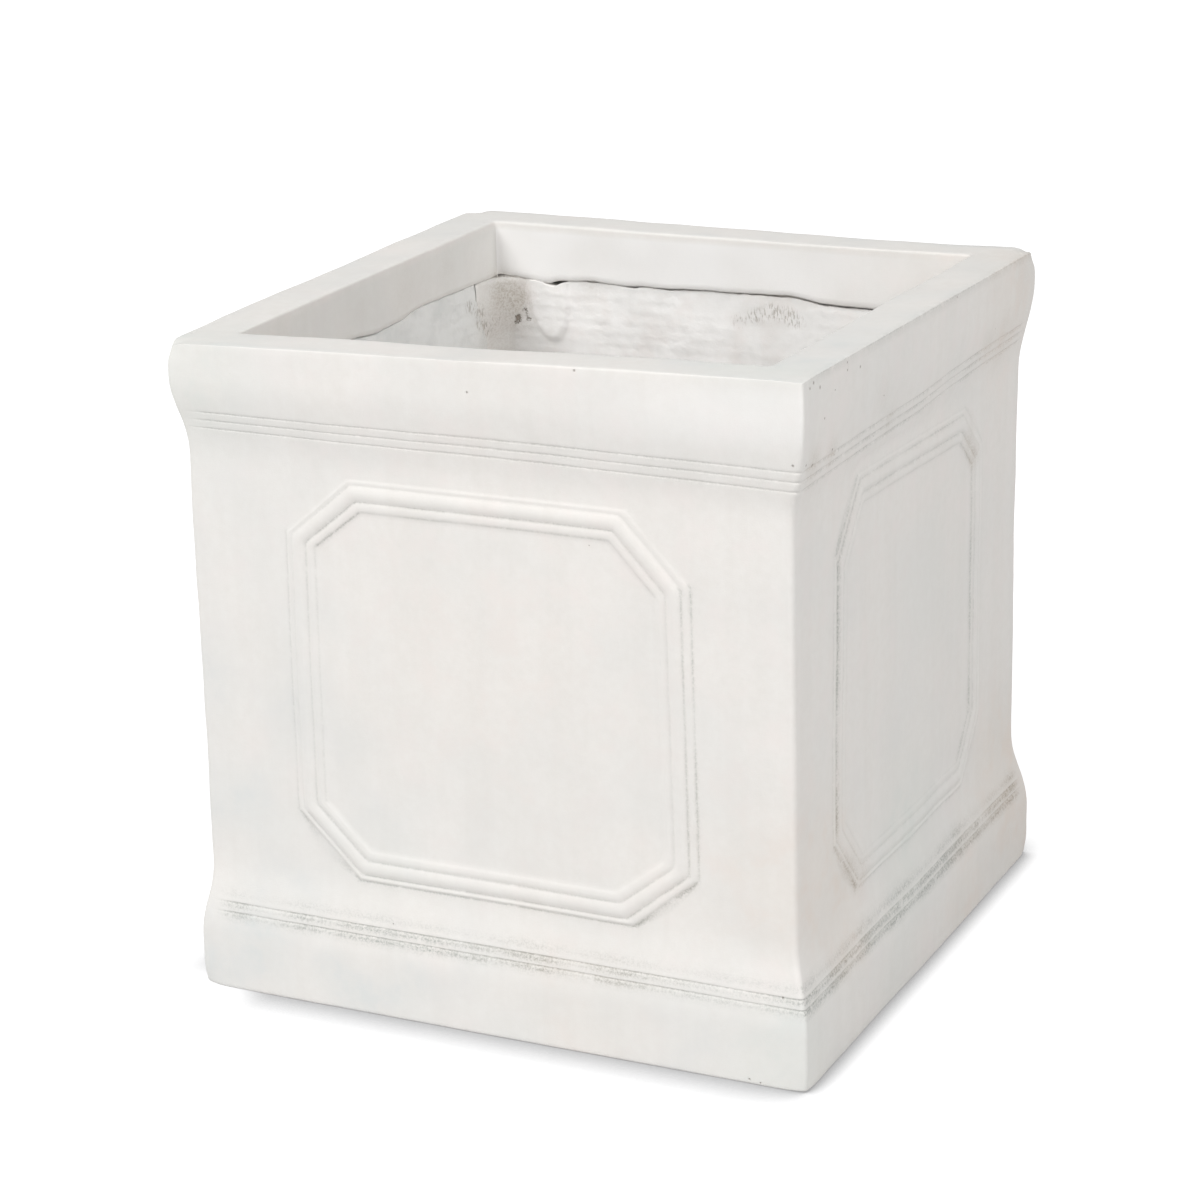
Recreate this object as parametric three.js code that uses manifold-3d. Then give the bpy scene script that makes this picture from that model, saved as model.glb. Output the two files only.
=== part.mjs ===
// A square cast-stone garden planter with a heavy rim, a plinth band and an octagonal
// moulded panel on each side. A face coat is laid into the mould first. Glass-mesh
// laminates, rim slurry and corner fillets are packed behind it, the floor slab is cast
// last, and a rubber plug closes its drain hole.
// Units are millimetres. +Z is up, and the origin is the middle of the footprint, on the
// ground. The front is -Y.

import * as THREE from 'three';
import { mergeVertices } from 'three/addons/utils/BufferGeometryUtils.js';
import Module from 'manifold-3d';

// Overall size, across the bands and from the ground to the top of the rim.
const overallWidth = 400;
const overallHeight = 411;
const cornerRadius = 3;

// Rim band, its flat top and the lip that returns down inside the mouth.
const rimBandHeight = 43;
const rimTopWidth = 32;
const rimArrisRadius = 4;
const mouthArrisRadius = 2;
const mouthCornerRadius = 4;
const rimTopThickness = 6;
const returnDepth = 39;
const returnThickness = 5;

// Plinth band at the foot.
const baseBandHeight = 47;
const footArrisRadius = 2.5;

// Plain wall between the bands, which stand proud of it.
const bandProjection = 6.5;
const skinThickness = 5;
const insideCornerRadius = 0.6;

// Each band runs into the wall in one soft curve, with thin grooves cut round it.
const rimCurveInBand = 21;
const rimCurveInWall = 34;
const baseCurveInBand = 13;
const baseCurveInWall = 39;
const groovePitch = 6;
const grooveWidth = 1.8;
const grooveDepth = 0.9;
const rimGrooveCount = 3;
const baseGrooveCount = 2;

// Octagonal panel moulding: three beads side by side, the middle one broad.
const panelSideMargin = 63;
const panelTopMargin = 34;
const panelBottomMargin = 34;
const panelChamfer = 44;
const outerBead = { width: 5.8, height: 2 };
const middleBead = { width: 9.3, height: 3.6 };
const innerBead = { width: 5.9, height: 2 };
const beadGrooveHeight = 1;
const mouldingRoot = 2;

// Layers packed behind the face coat, with the hair gap between one layer and the next.
const layerGap = 0.3;
const laminateThickness = 5;
const cornerFilletRadius = 14;

// Floor, which stands clear of the ground inside the foot of the wall.
const footHeight = 8;
const floorThickness = 12;
const floorLaminateThickness = 4;

// Drain hole and its tapered plug.
const drainTopDiameter = 30;
const drainBottomDiameter = 26;
const plugShortfall = 2;
const plugFlangeDiameter = 42;
const plugFlangeThickness = 3.5;
const plugNeckDiameter = 9;
const plugNeckHeight = 5;
const plugGripDiameter = 16;
const plugGripHeight = 6;

// Facets of the rounded forms.
const cornerSteps = 3;
const arrisSteps = 3;
const curveSteps = 10;
const beadSteps = 4;
const filletSteps = 6;
const roundSteps = 32;

// Half widths and levels that more than one piece uses.
const bandHalf = overallWidth / 2;
const wallHalf = bandHalf - bandProjection;
const skinInnerHalf = wallHalf - skinThickness;
const mouthHalf = bandHalf - rimTopWidth;
const returnOuterHalf = mouthHalf + returnThickness;
const laminateOuterHalf = skinInnerHalf - layerGap;
const laminateInnerHalf = laminateOuterHalf - laminateThickness;
const rimBandBottom = overallHeight - rimBandHeight;
const returnBottom = overallHeight - returnDepth;
const floorSlabTop = footHeight + floorThickness;
const laminateBottom = floorSlabTop + layerGap;
const laminateTop = returnBottom - layerGap;
const floorTop = laminateBottom + floorLaminateThickness;

const wasm = await Module();
wasm.setup();

const castStone = new THREE.MeshStandardMaterial({ color: 0xece9e3, roughness: 0.92, metalness: 0 });
const slurry = new THREE.MeshStandardMaterial({ color: 0xe4e1da, roughness: 0.95, metalness: 0 });
const meshLaminate = new THREE.MeshStandardMaterial({ color: 0xdedad2, roughness: 0.97, metalness: 0 });
const rubber = new THREE.MeshStandardMaterial({ color: 0x2b2b2b, roughness: 0.8, metalness: 0 });

// Turns a closed geometry into a solid for joining and cutting.
function solidFrom(geometry) {
  const bare = geometry.clone();
  bare.deleteAttribute('normal');
  bare.deleteAttribute('uv');
  const merged = mergeVertices(bare, 1e-4);
  return new wasm.Manifold(new wasm.Mesh({
    numProp: 3,
    vertProperties: new Float32Array(merged.attributes.position.array),
    triVerts: new Uint32Array(merged.index.array),
  }));
}

function geometryFrom(solid) {
  const mesh = solid.getMesh();
  const geometry = new THREE.BufferGeometry();
  geometry.setAttribute('position', new THREE.BufferAttribute(mesh.vertProperties, 3));
  geometry.setIndex(new THREE.BufferAttribute(mesh.triVerts, 1));
  geometry.computeVertexNormals();
  return geometry;
}

// Joins equal rings of points, each to the next and the last to the first.
function loftClosed(rings) {
  const count = rings[0].length;
  const indices = [];
  rings.forEach((_, ring) => {
    const next = (ring + 1) % rings.length;
    for (let i = 0; i < count; i += 1) {
      const j = (i + 1) % count;
      const a = ring * count + i;
      const b = ring * count + j;
      const c = next * count + j;
      const d = next * count + i;
      indices.push(a, b, c, a, c, d);
    }
  });
  const geometry = new THREE.BufferGeometry().setFromPoints(rings.flat());
  geometry.setIndex(indices);
  geometry.computeVertexNormals();
  return geometry;
}

// A level square ring with rounded corners, anticlockwise from above.
function squareRing({ half, z, radius }) {
  const ring = [];
  for (let corner = 0; corner < 4; corner += 1) {
    const start = corner * Math.PI / 2;
    const diagonal = start + Math.PI / 4;
    const centreX = Math.sign(Math.cos(diagonal)) * (half - radius);
    const centreY = Math.sign(Math.sin(diagonal)) * (half - radius);
    for (let step = 0; step <= cornerSteps; step += 1) {
      const angle = start + (step / cornerSteps) * Math.PI / 2;
      const x = centreX + radius * Math.cos(angle);
      const y = centreY + radius * Math.sin(angle);
      ring.push(new THREE.Vector3(x, y, z));
    }
  }
  return ring;
}

// Sweeps a closed profile, given as half width and level, round the square plan.
function sweptSquare(profile) {
  return loftClosed(profile.map(squareRing));
}

const level = (half, z, radius = cornerRadius) => ({ half, z, radius });

// Arc from angle start to angle end, in degrees, about a centre in the profile.
function roundedEdge(centreHalf, centreZ, size, start, end, radius) {
  const points = [];
  for (let step = 0; step <= arrisSteps; step += 1) {
    const angle = THREE.MathUtils.degToRad(start + (end - start) * step / arrisSteps);
    const half = centreHalf + size * Math.cos(angle);
    const z = centreZ + size * Math.sin(angle);
    points.push(level(half, z, radius));
  }
  return points;
}

// Levels of the grooves beside a band's edge, above it or below it.
function grooveLevels(edge, direction, count) {
  const levels = [];
  for (let groove = 0; groove < count; groove += 1) {
    levels.push(edge + direction * groovePitch * (groove + 0.5));
  }
  return levels;
}

// The soft curve from one half width to another, with grooves cut in it at their levels.
function groovedCurve({ bottom, top, bottomHalf, topHalf, grooves }) {
  const clear = (z) => grooves.every((groove) => Math.abs(z - groove) > grooveWidth);
  const levels = [];
  for (let step = 0; step <= curveSteps; step += 1) {
    levels.push(THREE.MathUtils.lerp(bottom, top, step / curveSteps));
  }
  const cut = grooves.flatMap((groove) => [groove - grooveWidth / 2, groove, groove + grooveWidth / 2]);
  const all = [...levels.filter(clear), ...cut].sort((a, b) => a - b);
  return all.map((z) => {
    const along = THREE.MathUtils.smoothstep(z, bottom, top);
    const half = THREE.MathUtils.lerp(bottomHalf, topHalf, along);
    return level(grooves.includes(z) ? half - grooveDepth : half, z);
  });
}

function outerFace() {
  const upward = 1;
  const downward = -1;
  const baseCurve = groovedCurve({
    bottom: baseBandHeight - baseCurveInBand,
    top: baseBandHeight + baseCurveInWall,
    bottomHalf: bandHalf,
    topHalf: wallHalf,
    grooves: grooveLevels(baseBandHeight, upward, baseGrooveCount),
  });
  const rimCurve = groovedCurve({
    bottom: rimBandBottom - rimCurveInWall,
    top: rimBandBottom + rimCurveInBand,
    bottomHalf: wallHalf,
    topHalf: bandHalf,
    grooves: grooveLevels(rimBandBottom, downward, rimGrooveCount),
  });
  return [
    ...roundedEdge(bandHalf - footArrisRadius, footArrisRadius, footArrisRadius, -90, 0),
    ...baseCurve,
    ...rimCurve,
    ...roundedEdge(bandHalf - rimArrisRadius, overallHeight - rimArrisRadius, rimArrisRadius, 0, 90),
  ];
}

function innerFace() {
  const mouthArrisTop = overallHeight - mouthArrisRadius;
  const arrisHalf = mouthHalf + mouthArrisRadius;
  const rimTopUnderside = overallHeight - rimTopThickness;
  return [
    ...roundedEdge(arrisHalf, mouthArrisTop, mouthArrisRadius, 90, 180, mouthCornerRadius),
    level(mouthHalf, returnBottom, mouthCornerRadius),
    level(returnOuterHalf, returnBottom, mouthCornerRadius),
    level(returnOuterHalf, rimTopUnderside, mouthCornerRadius),
    level(skinInnerHalf, rimTopUnderside, insideCornerRadius),
    level(skinInnerHalf, 0, insideCornerRadius),
  ];
}

// Section of the panel moulding, as distance in from its outer edge and height.
function mouldingSection() {
  const section = [[0, -mouldingRoot]];
  let start = 0;
  for (const bead of [outerBead, middleBead, innerBead]) {
    for (let step = 0; step < beadSteps; step += 1) {
      const along = step / beadSteps;
      const rise = (bead.height - beadGrooveHeight) * Math.sin(Math.PI * along);
      section.push([start + bead.width * along, beadGrooveHeight + rise]);
    }
    start += bead.width;
  }
  section.push([start, beadGrooveHeight], [start, -mouldingRoot]);
  return section;
}

// The eight-sided moulding of one panel, on the front wall.
function panelMoulding() {
  const halfWidth = wallHalf - panelSideMargin;
  const bottom = baseBandHeight + panelBottomMargin;
  const top = rimBandBottom - panelTopMargin;
  const halfHeight = (top - bottom) / 2;
  const centreZ = (top + bottom) / 2;
  const chamferLoss = 2 - Math.SQRT2;
  const rings = mouldingSection().map(([inset, height]) => {
    const w = halfWidth - inset;
    const h = halfHeight - inset;
    const leg = panelChamfer - chamferLoss * inset;
    const outline = [[w, h - leg], [w - leg, h], [leg - w, h], [-w, h - leg],
      [-w, leg - h], [leg - w, -h], [w - leg, -h], [w, leg - h]];
    return outline.map(([x, z]) => new THREE.Vector3(x, -wallHalf - height, centreZ + z));
  });
  return loftClosed(rings);
}

function castShell() {
  const moulding = solidFrom(panelMoulding());
  let shell = solidFrom(sweptSquare([...outerFace(), ...innerFace()]));
  for (let side = 0; side < 4; side += 1) {
    shell = shell.add(moulding.rotate([0, 0, 90 * side]));
  }
  return geometryFrom(shell);
}

// Slurry packed between the returned lip and the wall, under the rim's top.
function rimCore() {
  const top = overallHeight - rimTopThickness - layerGap;
  const inner = returnOuterHalf + layerGap;
  const outer = skinInnerHalf - layerGap;
  return sweptSquare([
    level(outer, returnBottom, insideCornerRadius),
    level(outer, top, insideCornerRadius),
    level(inner, top, mouthCornerRadius),
    level(inner, returnBottom, mouthCornerRadius),
  ]);
}

// Mesh laminate of one wall. Those of the front and back reach from side to side.
function wallLaminate(halfLength) {
  const height = laminateTop - laminateBottom;
  const sheet = new THREE.BoxGeometry(2 * halfLength, laminateThickness, height);
  const middle = (laminateOuterHalf + laminateInnerHalf) / 2;
  sheet.translate(0, -middle, laminateBottom + height / 2);
  return sheet;
}

// Slurry smoothed by hand into the upright corner at +X and +Y.
function cornerFillet() {
  const bottom = floorTop + layerGap;
  const corner = laminateInnerHalf - layerGap;
  const centre = corner - cornerFilletRadius;
  const section = new THREE.Shape();
  section.moveTo(corner, corner);
  section.lineTo(centre, corner);
  section.absarc(centre, centre, cornerFilletRadius, Math.PI / 2, 0, true);
  const fillet = new THREE.ExtrudeGeometry(section, {
    depth: laminateTop - bottom,
    bevelEnabled: false,
    curveSegments: filletSteps,
  });
  fillet.translate(0, 0, bottom);
  return fillet;
}

// Radius of the drain's taper at a level, which the plug follows with a gap.
function drainRadius(z) {
  const along = (z - footHeight) / (floorTop - footHeight);
  return THREE.MathUtils.lerp(drainBottomDiameter, drainTopDiameter, along) / 2;
}

function drainTaper() {
  const past = 1;
  const low = footHeight - past;
  const high = floorTop + past;
  const profile = [[0, low], [drainRadius(low), low], [drainRadius(high), high], [0, high]];
  return solidFrom(turned(profile));
}

// A turned solid, from radius and height points that start and end on the axis.
function turned(profile) {
  const lathe = new THREE.LatheGeometry(profile.map(([r, z]) => new THREE.Vector2(r, z)), roundSteps);
  return lathe.rotateX(Math.PI / 2);
}

// A level sheet between the walls, with the drain hole through it.
function floorSheet(half, bottom, thickness) {
  const sheet = new THREE.BoxGeometry(2 * half, 2 * half, thickness);
  sheet.translate(0, 0, bottom + thickness / 2);
  return geometryFrom(solidFrom(sheet).subtract(drainTaper()));
}

function drainPlug() {
  const seat = floorTop + layerGap;
  const tip = footHeight + plugShortfall;
  const flangeTop = seat + plugFlangeThickness;
  const neckTop = flangeTop + plugNeckHeight;
  const gripTop = neckTop + plugGripHeight;
  const flangeRadius = plugFlangeDiameter / 2;
  const gripRadius = plugGripDiameter / 2;
  const neckRadius = plugNeckDiameter / 2;
  const edge = plugFlangeThickness / 3;
  return turned([
    [0, tip],
    [drainRadius(tip) - layerGap, tip],
    [drainRadius(seat) - layerGap, seat],
    [flangeRadius, seat],
    [flangeRadius, flangeTop - edge],
    [flangeRadius - edge, flangeTop],
    [neckRadius, flangeTop],
    [neckRadius, neckTop],
    [gripRadius, neckTop],
    [gripRadius, gripTop - edge],
    [gripRadius - edge, gripTop],
    [0, gripTop],
  ]);
}

function addPiece(parent, name, geometry, material, quarterTurns = 0) {
  const piece = new THREE.Mesh(geometry, material.clone());
  piece.name = name;
  piece.rotation.z = quarterTurns * Math.PI / 2;
  parent.add(piece);
}

const planter = new THREE.Group();
addPiece(planter, 'cast_shell', castShell(), castStone);
addPiece(planter, 'rim_core', rimCore(), slurry);

const longLaminate = wallLaminate(laminateOuterHalf);
const shortLaminate = wallLaminate(laminateInnerHalf - layerGap);
addPiece(planter, 'front_wall_laminate', longLaminate, meshLaminate);
addPiece(planter, 'right_wall_laminate', shortLaminate, meshLaminate, 1);
addPiece(planter, 'back_wall_laminate', longLaminate, meshLaminate, 2);
addPiece(planter, 'left_wall_laminate', shortLaminate, meshLaminate, 3);

const fillet = cornerFillet();
['back_right', 'back_left', 'front_left', 'front_right'].forEach((corner, quarterTurns) => {
  addPiece(planter, `${corner}_corner_fillet`, fillet, slurry, quarterTurns);
});

const floorSlab = floorSheet(laminateOuterHalf, footHeight, floorThickness);
const floorMesh = floorSheet(laminateInnerHalf - layerGap, laminateBottom, floorLaminateThickness);
addPiece(planter, 'floor_slab', floorSlab, castStone);
addPiece(planter, 'floor_laminate', floorMesh, meshLaminate);
addPiece(planter, 'drain_plug', drainPlug(), rubber);

export default planter;
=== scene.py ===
import math

import bmesh
import bpy
from bmesh.types import BMEdge, BMVert
from mathutils import Matrix, Vector, noise


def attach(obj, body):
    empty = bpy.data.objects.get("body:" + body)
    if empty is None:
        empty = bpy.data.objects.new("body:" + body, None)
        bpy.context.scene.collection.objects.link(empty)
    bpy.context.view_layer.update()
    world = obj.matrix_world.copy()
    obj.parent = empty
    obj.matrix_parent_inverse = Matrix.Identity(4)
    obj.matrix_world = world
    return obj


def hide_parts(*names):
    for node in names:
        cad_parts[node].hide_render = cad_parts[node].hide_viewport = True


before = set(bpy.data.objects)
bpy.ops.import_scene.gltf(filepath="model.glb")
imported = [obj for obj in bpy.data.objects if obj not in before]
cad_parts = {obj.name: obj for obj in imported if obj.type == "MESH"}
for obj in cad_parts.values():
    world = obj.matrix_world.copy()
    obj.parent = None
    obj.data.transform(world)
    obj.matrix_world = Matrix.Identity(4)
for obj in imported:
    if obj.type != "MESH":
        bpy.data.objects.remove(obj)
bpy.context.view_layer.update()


# Camera. It stands a little to the right of the front wall and looks slightly down into
# the mouth, a touch off level, as in the photograph.
camera_turn = math.radians(25.38)
camera_height = math.radians(17.38)
camera_tilt = math.radians(-1.436)
camera_distance = 2.086
sensor_width, lens_length = 36, 99.83
aim_right, aim_up = -0.0162, 0.0123
middle_of_planter = Vector((0, 0, 0.2))


def toward(turn, height):
    """The way to something at this turn from the front and this angle above level."""
    level = math.cos(height)
    return Vector((math.sin(turn) * level, -math.cos(turn) * level, math.sin(height)))


def in_scene(name, data):
    """A new object in the scene."""
    thing = bpy.data.objects.new(name, data)
    bpy.context.scene.collection.objects.link(thing)
    return thing


backwards = toward(camera_turn, camera_height)
level_right = toward(camera_turn + math.radians(90), 0)
tilt = Matrix.Rotation(camera_tilt, 3, backwards)
right = tilt @ level_right
up = tilt @ backwards.cross(level_right)
camera = in_scene("camera", bpy.data.cameras.new("camera"))
camera.data.sensor_width, camera.data.lens = sensor_width, lens_length
camera.data.clip_start, camera.data.clip_end = 0.05, 30
stand = middle_of_planter + backwards * camera_distance + right * aim_right + up * aim_up
camera.matrix_world = Matrix.Translation(stand) @ Matrix((right, up, backwards)).transposed().to_4x4()
bpy.context.scene.camera = camera
bpy.context.scene.view_settings.view_transform = "Standard"


# Finishes are mixed from nodes. A Value is one socket, so that sums on it read as sums,
# and every other node comes from Finish.add.
class Value:
    def __init__(self, finish, socket):
        self.finish, self.socket = finish, socket

    def sum(self, operation, *values):
        sockets = dict(enumerate(values))
        return self.finish.add("ShaderNodeMath", {"operation": operation}, sockets)

    def __add__(self, other):
        return self.sum("ADD", self, other)

    def __sub__(self, other):
        return self.sum("SUBTRACT", self, other)

    def __rsub__(self, other):
        return self.sum("SUBTRACT", other, self)

    def __mul__(self, other):
        return self.sum("MULTIPLY", self, other)

    __radd__ = __add__
    __rmul__ = __mul__

    def between(self, low, high, start=0.0, end=1.0):
        settings = {"interpolation_type": "SMOOTHSTEP"}
        sockets = {"Value": self, "From Min": low, "From Max": high, "To Min": start, "To Max": end}
        return self.finish.add("ShaderNodeMapRange", settings, sockets)


class Finish:
    def __init__(self, name, world=None):
        self.material = world or bpy.data.materials.new(name)
        self.material.use_nodes = True
        self.tree = self.material.node_tree
        self.tree.nodes.clear()

    def add(self, kind, settings=None, sockets=None, output=0):
        node = self.tree.nodes.new(kind)
        for name, setting in (settings or {}).items():
            setattr(node, name, setting)
        for name, value in (sockets or {}).items():
            if isinstance(value, Value):
                self.tree.links.new(value.socket, node.inputs[name])
            else:
                node.inputs[name].default_value = value
        return Value(self, node.outputs[output]) if node.outputs else None

    def place(self, stretch=(1, 1, 1)):
        where = self.add("ShaderNodeTexCoord", output="Object")
        return self.add("ShaderNodeMapping", sockets={"Vector": where, "Scale": stretch})

    def away_from(self, where, point):
        settings = {"operation": "DISTANCE"}
        return self.add("ShaderNodeVectorMath", settings, {0: where, 1: point}, output="Value")

    def clouds(self, where, scale, detail=3.0, roughness=0.5):
        return self.add("ShaderNodeTexNoise", sockets={
            "Vector": where, "Scale": scale, "Detail": detail, "Roughness": roughness})

    def kept(self, name):
        return self.add("ShaderNodeAttribute", {"attribute_name": name}, output="Fac")

    def painted(self, share, under, over):
        """A share of one colour over another. They are the Mix node's sockets 6 and 7."""
        sockets = {"Factor": share, 6: under, 7: over}
        for key in (6, 7):
            if isinstance(sockets[key], tuple):
                sockets[key] = (*sockets[key], 1)
        return self.add("ShaderNodeMix", {"data_type": "RGBA"}, sockets, output=2)

    def surface(self, colour, roughness, relief):
        """Relief is a height in millimetres."""
        bump = self.add("ShaderNodeBump", sockets={"Height": relief, "Distance": 0.001})
        sockets = {"Base Color": colour, "Roughness": roughness, "Normal": bump}
        self.add("ShaderNodeOutputMaterial", sockets={
            "Surface": self.add("ShaderNodeBsdfPrincipled", sockets=sockets)})
        return self.material


# Floor and light. A plain white sweep under soft studio light: one large lamp at the front
# left and a weaker one on the right, in an even white room. The floor keeps the shadow.
room_brightness = 0.38
lamps = (
    # name, turn, height, size, power
    ("front left lamp", -18, 41, 4.0, 330.0),
    ("right lamp", 82, 28, 3.2, 166.0),
)
lamp_distance = 7.0
floor_glow, far_floor_glow, glow_changes = 0.94, 1.0, (0.35, 1.1)
floor_colour, floor_colour_seen = (0.6, 0.6, 0.605, 1), (0.25, 0.25, 0.255, 1)
# The contact shadow painted into the floor's glow along the front: its reach, its darkest
# share, how open to the sky a spot is from the darkest to the last of it, where it ends on
# the right, and the distance over which it starts, from a point at the front left corner.
shadow_reach, shadow_darkest, shadow_openness = 0.05, 0.72, (0.42, 0.98)
shadow_ends, lit_corner, shadow_starts = (0.199, 0.218), (-0.2, -0.21, 0), (0.012, 0.05)

room = Finish("room", bpy.data.worlds.new("room"))
bpy.context.scene.world = room.material
seen_directly = room.add("ShaderNodeLightPath", output="Is Camera Ray")
plain_room = room.add("ShaderNodeBackground", sockets={"Color": (1, 1, 1, 1), "Strength": room_brightness})
white_room = room.add("ShaderNodeBackground", sockets={"Color": (1, 1, 1, 1), "Strength": 1.0})
shown = room.add("ShaderNodeMixShader", sockets={0: seen_directly, 1: plain_room, 2: white_room})
room.add("ShaderNodeOutputWorld", sockets={"Surface": shown})

for name, turn, height, size, power in lamps:
    lamp = in_scene(name, bpy.data.lights.new(name, "AREA"))
    lamp.data.shape = "DISK"
    lamp.data.size = size
    lamp.data.energy = power
    way = toward(math.radians(turn), math.radians(height))
    lamp.location = middle_of_planter + way * lamp_distance
    lamp.rotation_mode = "QUATERNION"
    lamp.rotation_quaternion = way.to_track_quat("Z", "Y")

ground = bmesh.new()
bmesh.ops.create_grid(ground, x_segments=4, y_segments=4, size=6.0)
floor = in_scene("floor", bpy.data.meshes.new("floor"))
ground.to_mesh(floor.data)
ground.free()
sweep = Finish("sweep")
bounced = sweep.add("ShaderNodeBsdfDiffuse", sockets={"Color": floor_colour})
bounced_seen = sweep.add("ShaderNodeBsdfDiffuse", sockets={"Color": floor_colour_seen})
place = sweep.place()
far_off = sweep.away_from(place, (0, 0, 0)).between(*glow_changes, floor_glow, far_floor_glow)
open_sky = sweep.add("ShaderNodeAmbientOcclusion", {"samples": 8}, {"Distance": shadow_reach}, "AO")
across = sweep.add("ShaderNodeSeparateXYZ", sockets={"Vector": place}, output="X")
from_corner = sweep.away_from(place, lit_corner)
in_front = across.between(*shadow_ends, 1.0, 0.0) * from_corner.between(*shadow_starts)
# The painted contact shadow darkens the floor's glow that the camera sees.
painted_contact_shadow = open_sky.between(*shadow_openness, shadow_darkest, 0.0) * in_front
glow = sweep.add("ShaderNodeEmission", sockets={"Color": far_off * (1 - painted_contact_shadow), "Strength": 1.0})
shown = sweep.add("ShaderNodeAddShader", sockets={0: bounced_seen, 1: glow})
seen_directly = sweep.add("ShaderNodeLightPath", output="Is Camera Ray")
sweep.add("ShaderNodeOutputMaterial", sockets={
    "Surface": sweep.add("ShaderNodeMixShader", sockets={0: seen_directly, 1: bounced, 2: shown})})
floor.data.materials.append(sweep.material)


# Cast shell. The face coat of the planter: one skin of pale cast stone laid by hand into
# a mould, from the plinth band up the four panelled walls, over the thick rim and down
# the lip inside the mouth. Measured in millimetres, and brought to metres when finished.
overall_half, overall_height = 200.0, 411.0
wall_half = 192.0
skin_inner_half = 188.5
mouth_half = 168.0
lip_outer_half = 173.0
lip_bottom = 372.0
plinth_corner, wall_corner, rim_corner, mouth_corner, hidden_corner = 2.5, 4.0, 3.0, 4.0, 0.6
foot_arris, rim_arris, mouth_arris = 1.6, 1.0, 1.6
plinth_grooves, rim_grooves = (50.0, 56.0), (354.8, 360.2, 365.6)
groove_width, plinth_groove_depth, rim_groove_depth = 1.2, 0.5, 0.35
# Between which levels each band runs out into the wall, and its corners' rounding changes.
plinth_run_out, rim_run_out = (34, 86), (334, 389)
plinth_rounding, rim_rounding = (50, 80), (345, 385)


def only(kind, made):
    """The parts of this kind among what a bmesh operator made."""
    return [part for part in made["geom"] if isinstance(part, kind)]


def evenly(start, end, steps):
    return [start + (end - start) * step / steps for step in range(steps + 1)]


def eased(value, low, high):
    share = min(1.0, max(0.0, (value - low) / (high - low)))
    return share * share * (3 - 2 * share)


def fading(distance, reach):
    """1 at no distance, and little is left beyond the reach."""
    return math.exp(-(distance / reach) ** 2)


def interpolated(table, place):
    """Reads a sorted table of places and values, straight between its entries."""
    if place <= table[0][0]:
        return table[0][1]
    for (before, low), (after, high) in zip(table, table[1:]):
        if place <= after:
            return low + (high - low) * (place - before) / (after - before)
    return table[-1][1]


def arc(centre_half, centre_z, size, start, end, corner, steps=4):
    angles = [math.radians(angle) for angle in evenly(start, end, steps)]
    return [(centre_half + size * math.cos(a), centre_z + size * math.sin(a), corner) for a in angles]


def swell(z):
    """How far the bands, and the soft curves they run out in, stand out from the wall."""
    band = overall_half - wall_half
    return band * (1 - eased(z, *plinth_run_out) + eased(z, *rim_run_out))


def grooved(z):
    """The relief of the thin grooves cut beside the bands."""
    grooves = [(level, plinth_groove_depth) for level in plinth_grooves]
    grooves += [(level, rim_groove_depth) for level in rim_grooves]
    return -sum(depth * math.exp(-((z - level) / groove_width * 2) ** 2) for level, depth in grooves)


def corner_at(z):
    """The rounding of the upright corners, softest in the wall between the bands."""
    low = plinth_corner + (wall_corner - plinth_corner) * eased(z, *plinth_rounding)
    return low + (rim_corner - wall_corner) * eased(z, *rim_rounding)


# The eight-sided panel moulding of each wall: three beads, the middle one broad.
panel_half_width = 129.8
panel_bottom, panel_top = 80.0, 332.2
panel_middle = (panel_bottom + panel_top) / 2
panel_half_height = (panel_top - panel_bottom) / 2
panel_chamfer = 44.0
panel_border = 3.5
beads = ((5.8, 1.0), (9.3, 1.85), (5.9, 1.05))
groove_height = 0.45
side_steps, end_steps, chamfer_steps = 17, 17, 9


def mirrored(values):
    return [-value for value in reversed(values)] + values[1:]


panel_columns = evenly(0, panel_half_width - panel_chamfer, side_steps)
panel_columns += evenly(panel_columns[-1], panel_half_width + panel_border, chamfer_steps)[1:]
columns = panel_columns + evenly(panel_columns[-1], overall_half - 8, 12)[1:]
columns += [overall_half - gap for gap in (5.0, 3.4, 2.6, 1.9, 1.2, 0.6, 0.0)]
columns = mirrored(columns)
panel_rows = evenly(0, panel_half_height - panel_chamfer, end_steps)
panel_rows += evenly(panel_rows[-1], panel_half_height + panel_border, chamfer_steps)[1:]
panel_rows = [panel_middle + z for z in mirrored(panel_rows)]
groove_rows = [level + step for level in plinth_grooves + rim_grooves
               for step in (-2.2, -1.2, -0.8, -0.4, 0, 0.4, 0.8, 1.2, 2.2)]
rows = evenly(4, 46, 12) + evenly(61, 73, 3) + evenly(341, 349, 2) + evenly(369, 389, 5) + evenly(393, 405, 3)
rows = sorted(rows + panel_rows + groove_rows)

section = arc(overall_half - foot_arris, foot_arris, foot_arris, -90, 0, plinth_corner)
section += [(wall_half + swell(z) + grooved(z), z, corner_at(z)) for z in rows]
section += arc(overall_half - rim_arris, overall_height - rim_arris, rim_arris, 0, 90, rim_corner, 5)
section += [(half, overall_height, mouth_corner + (half - mouth_half) / 8) for half in evenly(193, 174, 5)]
section += arc(mouth_half + mouth_arris, overall_height - mouth_arris, mouth_arris, 90, 180, mouth_corner)
section += [(mouth_half, z, mouth_corner) for z in evenly(405, lip_bottom + 1, 9)]
section += [(mouth_half + 1, lip_bottom, mouth_corner), (lip_outer_half - 1, lip_bottom, mouth_corner)]
section += [(lip_outer_half, z, mouth_corner) for z in (lip_bottom + 1, 388.0, 405.0)]
section += [(skin_inner_half, z, hidden_corner) for z in evenly(405, 0, 6)]
section += [(skin_inner_half + 3, 0, 2.0)]


def drawn(mesh, points):
    """A line of edges drawn from point to point."""
    pen = mesh.verts.new(points[0])
    for point in points[1:]:
        step = bmesh.ops.extrude_vert_indiv(mesh, verts=[pen])
        pen = step["verts"][0]
        pen.co = point


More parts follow.
